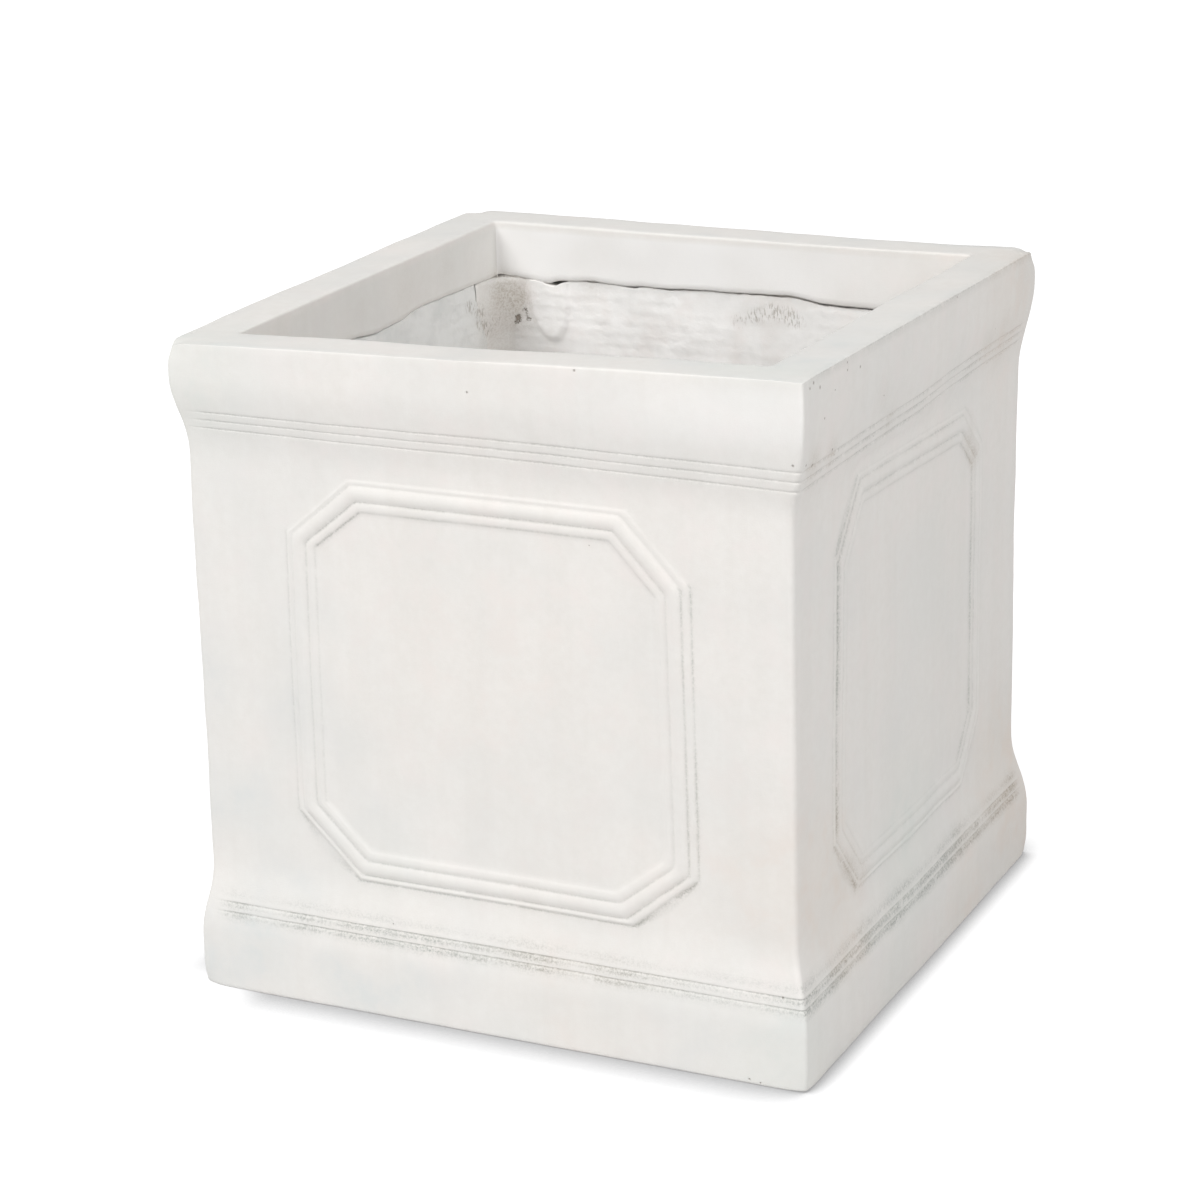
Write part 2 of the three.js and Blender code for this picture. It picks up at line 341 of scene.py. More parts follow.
def swept(mesh, steps):
    """Extrudes the mesh's edges again and again, each time by the next step."""
    leading = list(mesh.edges)
    for step in steps:
        made = bmesh.ops.extrude_edge_only(mesh, edges=leading)
        leading = only(BMEdge, made)
        bmesh.ops.translate(mesh, verts=only(BMVert, made), vec=step)
    return leading


def swept_wall(section, columns):
    """One wall, mitre to mitre: its section drawn once and extruded column by column."""
    mesh = bmesh.new()
    drawn(mesh, [(columns[0], -half, z) for half, z, _ in section])
    mesh.edges.new([vert for vert in mesh.verts if len(vert.link_edges) == 1])
    swept(mesh, [(after - before, 0, 0) for before, after in zip(columns, columns[1:])])
    return mesh


def fitted_to_plan(mesh, section):
    """Mitres the wall's ends to its neighbours and rounds its upright corners."""
    straight = panel_columns[-1]
    rounding_of = {(round(half, 3), round(z, 3)): corner for half, z, corner in section}
    for vert in mesh.verts:
        x, half = vert.co.x, -vert.co.y
        corner = rounding_of[(round(half, 3), round(vert.co.z, 3))]
        beyond = abs(x) - straight
        if beyond <= 0:
            continue
        along = straight + beyond * (half - straight) / (overall_half - straight)
        turn = max(0.0, along - (half - corner)) / corner * math.radians(45)
        if turn > 0:
            along = half - corner + corner * math.sin(turn)
            half = half - corner + corner * math.cos(turn)
        vert.co.x, vert.co.y = math.copysign(along, x), -half


def four_walls(mesh):
    """The wall turned round the plan four times, with its mitres merged."""
    bmesh.ops.spin(mesh, geom=list(mesh.verts) + list(mesh.edges) + list(mesh.faces), cent=(0, 0, 0),
                   axis=(0, 0, 1), angle=math.radians(270), steps=3, use_duplicate=True)
    bmesh.ops.remove_doubles(mesh, verts=mesh.verts, dist=0.02)
    bmesh.ops.recalc_face_normals(mesh, faces=mesh.faces)


def chamfered(x, z, inset=0.0):
    """Draws a point of the panel's border in to the eight-sided outline, or to one inside it."""
    chamfer = panel_chamfer - (2 - math.sqrt(2)) * inset
    squeeze = chamfer / (panel_chamfer + panel_border)

    def drawn_in(distance, half):
        side = half - panel_chamfer
        side_now = half - inset - chamfer
        return min(distance, side) * side_now / side + max(0, distance - side) * squeeze

    across = drawn_in(abs(x), panel_half_width)
    upward = drawn_in(abs(z), panel_half_height)
    over = across + upward - (panel_half_width + panel_half_height - 2 * inset - chamfer)
    if over > 0:
        across, upward = across - over / 2, upward - over / 2
    return math.copysign(across, x), math.copysign(upward, z)


def moulding_section():
    """The three beads as distance in from the moulding's outer edge and rise off the wall."""
    rings, start = [], 0.0
    for width, height in beads:
        for share in (0.1, 0.22, 0.36, 0.5, 0.64, 0.78, 0.9, 1):
            foot = groove_height * min(1, (start + width * share) / 2)
            crest = math.sin(math.pi * share) ** 0.8 if share < 1 else 0
            rings.append((start + width * share, foot + (height - groove_height) * crest))
        start += width
    return rings + [(start + 0.8, 0.0), (start + 3, 0.0), (start + 6, 0.0)]


def worn(x, z, inset):
    """What is left of the outer bead, which the mould has lost along the top and left."""
    if inset > beads[0][0] - 0.1:
        return 1.0
    at_top_right = math.exp(-((x - 96) ** 2 + (z - 300) ** 2) / 34 ** 2)
    at_top, at_left = eased(z, 250, 330), eased(-x, 60, 120) * eased(z, 90, 160)
    return 1 - max(0.6 * at_top_right, 0.5 * at_top, 0.5 * at_left)


def panelled(mesh):
    """Takes out the wall inside the panel's border and lays the moulding and field in."""
    def inside(face):
        middle = face.calc_center_median()
        return (middle.y < -wall_half + 0.5 and abs(middle.x) < panel_columns[-1]
                and panel_rows[0] < middle.z < panel_rows[-1])

    bmesh.ops.delete(mesh, geom=[face for face in mesh.faces if inside(face)], context="FACES")
    border = [edge for edge in mesh.edges if edge.is_boundary and all(
        abs(v.co.x) < panel_columns[-1] + 0.01 and v.co.y < -wall_half + 0.01
        and panel_rows[0] - 0.01 < v.co.z < panel_rows[-1] + 0.01 for v in edge.verts)]
    for vert in {v for edge in border for v in edge.verts}:
        vert.co.y += swell(vert.co.z)
    panel = bmesh.ops.contextual_create(mesh, geom=border)["faces"][0]
    mesh.normal_update()
    if panel.normal.y > 0:
        panel.normal_flip()
    rim = [vert.co.copy() for vert in panel.verts]
    corners = [i for i, p in enumerate(rim) if abs(p.x) > panel_columns[-1] - 0.01
               and not panel_rows[0] + 0.01 < p.z < panel_rows[-1] - 0.01]

    def next_ring(inset, rise, share=1.0):
        bmesh.ops.inset_region(mesh, faces=[panel], thickness=0.01)
        for vert, start in zip(panel.verts, rim):
            x, z = chamfered(start.x, start.z - panel_middle, inset)
            vert.co = start.lerp(Vector((x, start.y, z + panel_middle)), share)
            vert.co.y = -wall_half - rise * worn(vert.co.x, vert.co.z, inset)
        mesh.normal_update()

    for share in (0.3, 0.55, 0.8, 1.0):
        next_ring(0, 0, share)
    for inset, rise in moulding_section():
        next_ring(inset, rise)
    edge_of = [mesh.edges.get(pair) for pair in zip(panel.verts, list(panel.verts)[1:] + [panel.verts[0]])]
    bmesh.ops.delete(mesh, geom=[panel], context="FACES_ONLY")
    rails = edge_of[corners[0]:corners[1]] + edge_of[corners[2]:corners[3]]
    bmesh.ops.grid_fill(mesh, edges=rails, use_smooth=True)
    in_panel = [vert for vert in mesh.verts
                if vert.co.y < -wall_half + 0.5 and abs(vert.co.x) < panel_columns[-1] - 0.1
                and panel_rows[0] + 0.1 < vert.co.z < panel_rows[-1] - 0.1]
    bmesh.ops.smooth_vert(mesh, verts=in_panel, factor=0.5, use_axis_x=True, use_axis_y=True, use_axis_z=True)
    for vert in in_panel + list({vert for edge in border if edge.is_valid for vert in edge.verts}):
        vert.co.y -= swell(vert.co.z)


shell_mesh = swept_wall(section, columns)
fitted_to_plan(shell_mesh, section)
panelled(shell_mesh)
four_walls(shell_mesh)

# Nothing about a hand-laid casting is true. The mould racked a little, the rim sagged at
# one corner and stood up at another, the grooves die out before three of the corners, the
# corners are rubbed, and every face waves. Of each corner: its drift to the right and back.
drift_at_foot = {(-1, -1): (-1.6, 3.5), (-1, 1): (-0.7, -0.4), (1, -1): (0.3, -2.0), (1, 1): (1.0, -1.8)}
drift_at_rim = {(-1, -1): (-2.2, 4.7), (-1, 1): (-0.3, -0.3), (1, -1): (1.7, -3.5), (1, 1): (1.2, -3.1)}
# The walls' own drift to the right between the bands, low down and high up.
drift_between = {(-1, -1): (-3.8, -1.0), (-1, 1): (-1.0, -1.0), (1, -1): (-0.6, -2.2), (1, 1): (-1.2, 1.2)}
rim_rise = {(-1, -1): -5.4, (-1, 1): 2.0, (1, -1): 5.2, (1, 1): -0.4}
back_rim_sag = 1.1
rise_starts = 352.0
wall_starts, wall_ends = (56, 90), (325, 365)
# How much each upright corner is rubbed away at its foot and at its top.
corner_rub = {(-1, -1): (2.0, 4.5), (-1, 1): (3.0, 4.5), (1, -1): (1.0, 1.5), (1, 1): (2.0, 4.5)}
front, right_hand, back, left_hand = range(4)


def racked(mesh):
    """Moves the mesh as the mould's four corners racked, but for the drain in the middle."""
    for vert in mesh.verts:
        x, y, z = vert.co
        outward = eased(math.hypot(x, y), 30, 130)
        up_the_wall = z / overall_height
        up_the_rim = min(1, max(0, (z - rise_starts) / (overall_height - rise_starts)))
        between = eased(z, *wall_starts) * (1 - eased(z, *wall_ends))
        for corner, foot in drift_at_foot.items():
            near = outward * (1 + corner[0] * x / overall_half) * (1 + corner[1] * y / overall_half) / 4
            rim = drift_at_rim[corner]
            low, high = drift_between[corner]
            own_drift = (low + (high - low) * up_the_wall) * between
            vert.co.x += near * (foot[0] + (rim[0] - foot[0]) * up_the_wall + own_drift)
            vert.co.y += near * (foot[1] + (rim[1] - foot[1]) * up_the_wall)
            vert.co.z += near * rim_rise[corner] * up_the_rim
        vert.co.z -= back_rim_sag * up_the_rim * (1 - (x / overall_half) ** 2) * eased(y, -100, 170)


def lumps(point, size, place=0.0):
    """Unevenness from -1 to 1, with lumps of this size, and the same at each run."""
    return noise.noise((point + Vector((place, 0, 0))) / size)


def waved(mesh, wide, small, fine):
    """Waves the mesh's faces by hand-sized, finger-sized and trowel-sized amounts."""
    mesh.normal_update()
    for vert in mesh.verts:
        amount = wide * lumps(vert.co, 95, 900) + small * lumps(vert.co, 28, 500) + fine * lumps(vert.co, 9)
        moved = vert.co + vert.normal * amount
        vert.co.xy = moved.xy
        if vert.co.z > 2:
            vert.co.z = moved.z


mitre_slack = 0.05


def on_wall(point):
    """Which wall a point is on, how far along it and out from the middle, and its height. One
    on a mitre counts as on the front or back, however its place was rounded off."""
    x, y, z = point
    if abs(y) >= abs(x) - mitre_slack:
        return (front, x, -y, z) if y < 0 else (back, -x, y, z)
    return (right_hand, y, x, z) if x > 0 else (left_hand, -y, -x, z)


def died_out(x, y):
    """How far the grooves have died out, as they do before every corner but the front right."""
    return 0.0 if x > 0 and y < 0 else eased(min(abs(x), abs(y)), 174, 190)


def softened(mesh):
    """Lets the grooves die out before the corners."""
    for vert in mesh.verts:
        x, y, z = vert.co
        if max(abs(x), abs(y)) > wall_half - 3:
            filled = -grooved(z) * died_out(x, y)
            vert.co.x += math.copysign(1, x) * filled * eased(abs(x), 180, 192)
            vert.co.y += math.copysign(1, y) * filled * eased(abs(y), 180, 192)


def rubbed(mesh):
    """Rounds the planter's eight outer corners."""
    for vert in mesh.verts:
        for (side_x, side_y), (at_foot, at_top) in corner_rub.items():
            for level, way, amount in ((0, 1, at_foot), (overall_height, -1, at_top)):
                tip = Vector((side_x * overall_half, side_y * overall_half, level))
                near = fading((vert.co - tip).length, 8)
                if near > 0.01:
                    vert.co += Vector((-side_x, -side_y, way)).normalized() * amount * near


# The torn lower edge of the lip, where it was seen: place along the wall, and height.
unseen_edge = ((0, 373.5),)
torn_edge = {
    left_hand: ((-165, 373.7), (-142, 374.1), (-113, 374.6), (-85, 375.1), (-57, 375.0), (-29, 372.2),
                (-2, 370.8), (37, 374.1)),
    back: ((-107, 371.1), (-86, 371.6), (-69, 371.7), (-45, 375.7), (-24, 375.2), (8, 374.7), (48, 374.0),
           (81, 374.1), (99, 375.6), (121, 374.1), (132, 372.0), (143, 374.0), (158, 375.0)),
}


def torn_at(side, along):
    """The height of the torn edge at a place along a wall."""
    spot = Vector((along, side * 977.0, 0))
    return interpolated(torn_edge.get(side, unseen_edge), along) + 0.5 * lumps(spot, 14) + 0.7 * lumps(spot, 5)


def torn(mesh):
    """Tears the lip's lower edge."""
    low, top = lip_bottom, overall_height - 4
    for vert in mesh.verts:
        side, along, out, z = on_wall(vert.co)
        if out > lip_outer_half - 0.5 or z > top or out < mouth_half - 1:
            continue
        vert.co.z = top - (top - z) * (top - torn_at(side, along)) / (top - low)


def in_from_moulding(along, z):
    """How far a point lies in from the moulding's outer edge, and on which of its sides."""
    across, upward = abs(along), abs(z - panel_middle)
    ways = {
        "side": panel_half_width - across,
        "level": panel_half_height - upward,
        "chamfer": (panel_half_width + panel_half_height - panel_chamfer - across - upward) / math.sqrt(2),
    }
    way = min(ways, key=ways.get)
    high, far = z > panel_middle, along > 0
    names = {
        "side": "right" if far else "left",
        "level": "top" if high else "bottom",
        "chamfer": ("top " if high else "bottom ") + ("right" if far else "left"),
    }
    return ways[way], names[way]


# How far each corner of a moulding was found off its true place, along the wall and up,
# from the top side's left end round to the left side's upper end.
moulding_drift = {
    front: ((0.5, 2.1), (4.6, 2.1), (0.9, 3.2), (3.5, -7.5), (4.3, 0.6), (-1.8, 1.0), (0.5, -2.1), (0.8, 9.0)),
    right_hand: ((-8.0, 7.5), (-1.0, 3.0), (-10.0, 15.0), (-8.0, 0.0), (1.4, 3.2), (-12.0, 3.5), (-8.0, 2.2),
                 (-4.0, 8.0)),
}
thin_outer_bead = 1.9


def nudged(mesh):
    """Moves each moulding's corners off true, and thins its outer bead but on the right."""
    end, rise = panel_half_width - panel_chamfer, panel_half_height - panel_chamfer
    wide, high = panel_half_width, panel_half_height
    corners = [Vector(corner) for corner in ((-end, high), (end, high), (wide, rise), (wide, -rise),
                                             (end, -high), (-end, -high), (-wide, -rise), (-wide, rise))]
    for vert in mesh.verts:
        side, along, out, z = on_wall(vert.co)
        if side not in moulding_drift or out < wall_half - 1 or not 57 < z < 352:
            continue
        inset, way = in_from_moulding(along, z)
        near = (1 - eased(inset, 24, 75)) * (1 - eased(-inset, 2, 20))
        if near == 0:
            continue
        spot = Vector((along, z - panel_middle))
        shifts = [Vector(shift) for shift in moulding_drift[side]]
        best = None
        for start, stop, low, after in zip(corners, corners[1:] + corners[:1], shifts, shifts[1:] + shifts[:1]):
            length, line = (stop - start).length, (stop - start).normalized()
            inward = Vector((line.y, -line.x))
            depth = (spot - start).dot(inward)
            if best is None or depth < best[0]:
                mitre = depth * math.tan(math.radians(22.5))
                share = ((spot - start).dot(line) - mitre) / (length - 2 * mitre)
                best = depth, low.lerp(after, min(1, max(0, share))), inward
        depth, shift, inward = best
        if "right" not in way:
            shift = shift + inward * thin_outer_bead * (1 - eased(abs(depth), 0, beads[0][0]))
        shift = shift * near
        towards = {front: (shift.x, 0), right_hand: (0, shift.x)}[side]
        vert.co += Vector((*towards, shift.y))


# How far the rim's grooves sank along two walls: place along the wall, and fall.
groove_fall = {
    front: ((-200, 0.0), (50, -0.3), (150, -1.4), (200, -2.2)),
    right_hand: ((-200, -2.2), (-50, -2.7), (0, -2.4), (50, -0.3), (200, 0.0)),
}


def sunk(mesh):
    """Lets the rim's grooves fall toward the front right corner."""
    for vert in mesh.verts:
        side, along, out, z = on_wall(vert.co)
        if side in groove_fall and out > wall_half - 1:
            vert.co.z += interpolated(groove_fall[side], along) * eased(z, 338, 352) * (1 - eased(z, 369, 386))


# Grey patina stays in the grooves where the wash wasn't wiped off. Each side of the
# moulding holds it in some grooves: outer edge, outer groove, inner groove, inner edge.
moulding_patina = {
    "top": (0.0, 0.1, 0.4, 0.35), "right": (0.5, 0.45, 0.15, 0.0),
    "bottom": (0.55, 0.4, 0.3, 0.0), "left": (0.25, 0.1, 0.25, 0.2),
    "top left": (0.0, 0.3, 0.5, 0.6), "bottom left": (0.5, 0.4, 0.35, 0.0),
    "bottom right": (0.95, 0.6, 0.3, 0.0), "top right": (0.0, 0.0, 0.25, 0.2),
}
right_moulding_patina = {
    "top": (0.2, 0.5, 0.5, 0.3), "right": (0.2, 0.1, 0.35, 0.6),
    "bottom": (0.4, 0.3, 0.3, 0.2), "left": (0.3, 0.8, 0.3, 0.0),
    "top left": (0.7, 0.6, 0.3, 0.1), "bottom left": (1.0, 0.5, 0.3, 0.2),
    "bottom right": (0.3, 0.3, 0.4, 0.5), "top right": (0.3, 0.3, 0.6, 0.7),
}
bead_ends = (0.0, beads[0][0], beads[0][0] + beads[1][0], beads[0][0] + beads[1][0] + beads[2][0])
# Of each groove beside a band: its level, how dark it is, and how far up from it its smudge
# lies, with the smudge's reach and strength.
groove_patina = tuple((level, 0.7, -2.0, 1.8, 0.8) for level in plinth_grooves)
groove_patina += tuple((level, 0.28, -0.5, 1.2, 0.2) for level in rim_grooves)
groove_patina += ((plinth_grooves[1], 0.0, 5.5, 2.8, 0.35),)
line_reach, smudge_reach, groove_line_reach = 0.6, 2.4, 0.5
rim_edge = 410.4


def patina_at(point):
    """How dark a point is made: patina as a thin line in a groove and as a soft smudge,
    and a dark line along the right face's top edge.
    """
    side, along, out, z = on_wall(point)
    line, smudge = 0.0, 0.0
    if out < wall_half - 2:
        return line, smudge
    inset, way = in_from_moulding(along, z)
    if -9 < inset < 30:
        held, thin, wide = moulding_patina, 1.0, 0.5
        if side == right_hand:
            held, thin, wide = right_moulding_patina, 0.65, 0.9
        for place, strength in zip(bead_ends, held[way]):
            line = max(line, thin * strength * fading(inset - place, line_reach))
            smudge = max(smudge, wide * strength ** 2 * fading(inset - place, smudge_reach))
    # A dark line along the right face's top edge, just under the arris.
    if side == right_hand and out > overall_half - 1.2:
        line = 0.5 * fading(z - rim_edge, groove_line_reach)
    kept_here, rubbed_in = 1 - died_out(point.x, point.y), side == right_hand
    for level, dark, shift, reach, soft in groove_patina:
        thin, wide = (0.75 * dark, 2.1 * soft) if rubbed_in else (dark, soft)
        line = max(line, thin * kept_here * fading(z - level, groove_line_reach))
        smudge = max(smudge, wide * kept_here * fading(z - level - shift, reach))
    patches = 0.8 + 0.9 * lumps(point, 26, 300)
    return line * min(1, patches + 0.2), min(1, smudge * max(0, patches))


# Stains, among them painted shade, scuffs and scratches: the middle, reach and strength of each.
stains_and_painted_shade = (
    (200, 176, 402, 22, 0.22), (200, 120, 406, 14, 0.14), (200, 110, 366, 11, 0.3),
    (200, 140, 362, 14, 0.3), (200, -183, 366, 9, 0.5), (200, -154, 365, 8, 0.4),
    (200, -77, 379, 12, 0.2), (200, -60, 362, 9, 0.25),
    (194, 98, 300, 8, 0.5), (194, 88, 312, 8, 0.45), (194, -93, 92, 11, 0.4), (194, -112, 105, 9, 0.4),
    # Inside the back left corner: brown stain at the top of it, and broad patches of brown stain and painted
    # shade down the corner. The two small ones at the back lip's edge, at x -126 and -98, are painted shade in
    # the gaps under it.
    (-166, 168, 366, 10, 1.0), (-155, 168, 361, 9, 1.0), (-172, 166, 352, 20, 0.35),
    (-153, 169, 350, 12, 0.35), (-170, 160, 330, 24, 0.3), (-126, 171, 372, 7, 0.3),
    (-168, 96, 392, 13, 0.12), (-168, 40, 386, 16, 0.12), (-168, -20, 390, 14, 0.1),
    (-98, 171, 371, 7, 0.3), (30, 171, 366, 20, 0.14),
)
scuffs = (
    (-148, 171, 352, 4.0, 1.0), (-152, 171, 358, 3.2, 0.9), (-154, 170, 346, 3.8, 1.0),
    (-146, 171, 346, 3.0, 0.8), (-156, 169, 342, 2.6, 0.7), (-162, 168, 366, 3.0, 0.6),
    (-173, 168, 374, 2.6, 1.0), (-163, 168, 376, 2.4, 1.0),
    (202, -187, 366, 3.0, 0.9), (202, -154, 366, 2.6, 0.8), (202, -198, 363, 3.0, 0.9),
    (200, -204, 369, 3.0, 0.9), (202, -187, 412, 3.0, 0.9), (202, -179, 407, 2.6, 0.8),
    (202, -138, 410, 2.6, 0.7), (194, 92, 306, 4.0, 0.6), (194, 100, 296, 3.0, 0.7),
)
scratches = (
    (-171, 132, 360, 7, 0.8), (-171, 145, 355, 6, 1.0), (-171, 147, 347, 7, 1.0), (-170, 165, 347, 7, 1.0),
    (-171, 155, 338, 6, 0.7), (7, 171, 356, 7, 0.7), (20, 171, 360, 7, 0.8), (32, 171, 364, 7, 0.9),
    (44, 171, 361, 8, 0.8), (52, 171, 357, 6, 0.5), (-60, 171, 358, 7, 0.35), (200, -138, 411, 6, 0.5),
)
# Patches where the stone is tanned (strength above nought) or greenish (below).
tints = (
    (-200, -200, 385, 60, -0.9), (0, -194, 210, 150, 0.35), (-70, -194, 95, 42, -0.6),
    (190, -200, 25, 50, -0.9), (60, -200, 20, 60, 0.4), (200, 190, 30, 60, 0.9), (200, 70, 20, 50, 0.6),
    (194, 150, 90, 50, 0.7), (194, -20, 95, 60, -0.9), (194, 20, 250, 60, -0.4),
    (194, -110, 60, 50, 0.5), (200, -60, 15, 45, -0.5),
    (200, 150, 380, 60, 0.6), (183, -183, 418, 22, -0.8), (0, -185, 411, 40, 0.25),
    (150, -183, 418, 22, -0.8), (194, -165, 110, 60, 0.9),
)


def marked(marks, point):
    """The strength of the marks at a point, from -1 to 1."""
    total = sum(strength * fading((point - Vector(middle)).length, reach)
                for *middle, reach, strength in marks)
    return min(1.0, max(-1.0, total))


cool_corner, cool_corner_reach = Vector((185, -185, 411)), 42
# Painted light on the lips in the mouth: how much it whitens them, and how much of that is lost toward the
# right.
lip_painted_light, lip_painted_light_lost = 0.75, 0.4


def wash_and_painted_light_at(vert):
    """Cool wash left on level tops, at the foot of the front and back and toward the left-hand
    corners, and the outer walls darker low down. In the mouth it is painted shade on the left lip,
    and below nought it is painted light, which whitens the other lips and the front rim toward the right."""
    side, along, out, z = on_wall(vert.co)
    uneven, front_or_back = lumps(vert.co, 34, 70), side in (front, back)
    near_corner = fading((vert.co - cool_corner).length, cool_corner_reach)
    on_top = eased(vert.normal.z, 0.6, 0.95) * (z > 300)
    cool_and_painted_light = (0.5 + 0.15 * (side == right_hand) + 0.6 * near_corner) * on_top
    if out > wall_half - 2:
        low_down, at_foot = 1 - eased(z, 120, 330), 1 - eased(z, 40, 62)
        cool_and_painted_light += 0.3 * low_down + 0.25 * at_foot * front_or_back
        cool_and_painted_light += 0.35 * (1 - eased(along, -200, 40)) * front_or_back
    elif out < mouth_half + 4 and z < 407:
        # Painted shade on the left lip, none toward its front end; painted light whitens the other lips, less
        # toward the right.
        if side == left_hand:
            cool_and_painted_light = 0.4 * (1 - eased(along, 60, 160))
        else:
            cool_and_painted_light = lip_painted_light_lost * eased(vert.co.x, 0, 160) - lip_painted_light
        return max(-1, cool_and_painted_light * (0.9 + 0.3 * uneven))
    # Painted light on the front rim band, growing toward the right.
    on_front_rim = eased(z, 366, 382) * (1 - eased(z, 403, 409)) * (side == front)
    painted_light_on_front_rim = 0.35 * eased(along, 20, 150) * on_front_rim
    return min(1, max(-1, cool_and_painted_light * (0.75 + 0.8 * uneven) - painted_light_on_front_rim))


def keep(mesh, name, value_at):
    """Keeps a value at each of the mesh's points for the finish to read."""
    layer = mesh.verts.layers.float.get(name) or mesh.verts.layers.float.new(name)
    for vert in mesh.verts:
        vert[layer] = value_at(vert)


torn(shell_mesh)
keep(shell_mesh, "line", lambda vert: patina_at(vert.co)[0])
keep(shell_mesh, "smudge", lambda vert: patina_at(vert.co)[1])
softened(shell_mesh)
nudged(shell_mesh)
sunk(shell_mesh)
waved(shell_mesh, 0.9, 0.35, 0.1)
keep(shell_mesh, "wash_and_painted_light", wash_and_painted_light_at)
rubbed(shell_mesh)
racked(shell_mesh)


def finished(mesh, name, finish, body="planter"):
    """The mesh as a piece in metres, smooth-shaded, riding on its body."""
    for kind, marks in (("stain_and_painted_shade", stains_and_painted_shade), ("scuff", scuffs), ("scratch", scratches), ("tint", tints)):
        keep(mesh, kind, lambda vert: marked(marks, vert.co))
    bmesh.ops.scale(mesh, verts=mesh.verts, vec=(0.001, 0.001, 0.001))
    for face in mesh.faces:
        face.smooth = True
    data = bpy.data.meshes.new(name)
    mesh.to_mesh(data)
    mesh.free()
    piece = in_scene(name, data)
    data.materials.append(finish)
    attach(piece, body)
    return piece


# The cool wash colour also paints shade; the white is painted light in the mouth and on the front rim.
cool_wash_and_painted_shade, painted_light_white = (0.745, 0.76, 0.745), (0.97, 0.96, 0.95)
warm_blush = (0.87, 0.815, 0.785)
tan, green_grey = (0.80, 0.705, 0.62), (0.74, 0.775, 0.735)
grey_patina = (0.33, 0.35, 0.32)
brown_stain_and_shade = (0.40, 0.33, 0.25)
bark_brown, grey_brown = (0.20, 0.155, 0.115), (0.40, 0.355, 0.30)
painted_pit_shade = (0.2, 0.165, 0.13)
# Pinholes on the right and at the front: place and size. Each is measured with its wall
# nearly flattened, so that the wall's waves don't lift it off the surface.
right_flat, front_flat = (0.15, 1, 1), (1, 0.15, 1)
right_pinholes = (
    (-188, 412, 1.3), (-193, 410, 1.1), (-179, 407.5, 1.5), (-138, 412, 0.9),
    (-138, 407.7, 1.0), (-118, 405, 1.3), (-156, 400.7, 0.7), (44, 411, 0.9),
    (-172, 388.6, 1.0), (-184, 365, 1.5), (-154, 366.3, 1.2), (-83, 356.3, 1.1),
    (-149, 362, 0.8), (-77, 379, 0.7), (-194, 367.5, 1.1),
)
front_pinholes = (
    (65.6, -200, 411, 1.1), (-2.3, -200, 392.6, 1.0), (68, -194, 309, 0.6), (-102, -194, 263, 0.7),
    (-158, -200, 390, 0.8), (194, -200, 368.5, 1.1), (165, -200, 3, 1.0), (172, -200, 2, 0.9),
    (185, -200, 56, 0.9),
)
pinholes = [(right_flat, overall_half, *hole) for hole in right_pinholes]
pinholes += [(front_flat, *hole) for hole in front_pinholes]


def pitted(stone, where, holes):
    """How much of a hole is here: rare pinholes all over, and the ones that were seen."""
    pit = stone.add("ShaderNodeTexVoronoi", {"feature": "F1"}, {"Vector": where, "Scale": 60.0})
    cell = Value(stone, pit.socket.node.outputs["Color"])
    rare = stone.add("ShaderNodeSeparateColor", None, {"Color": cell})
    hole = pit.between(0.014, 0.03, 0.7, 0.0) * rare.between(0.955, 0.965)
    flattened = {flat: stone.place(flat) for flat, *_ in holes}
    for flat, x, y, z, size in holes:
        middle = (flat[0] * x / 1000, flat[1] * y / 1000, z / 1000)
        away = stone.away_from(flattened[flat], middle)
        hole = hole + away.between(0.0002 * size, 0.0010 * size, 0.85, 0.0)
    return hole


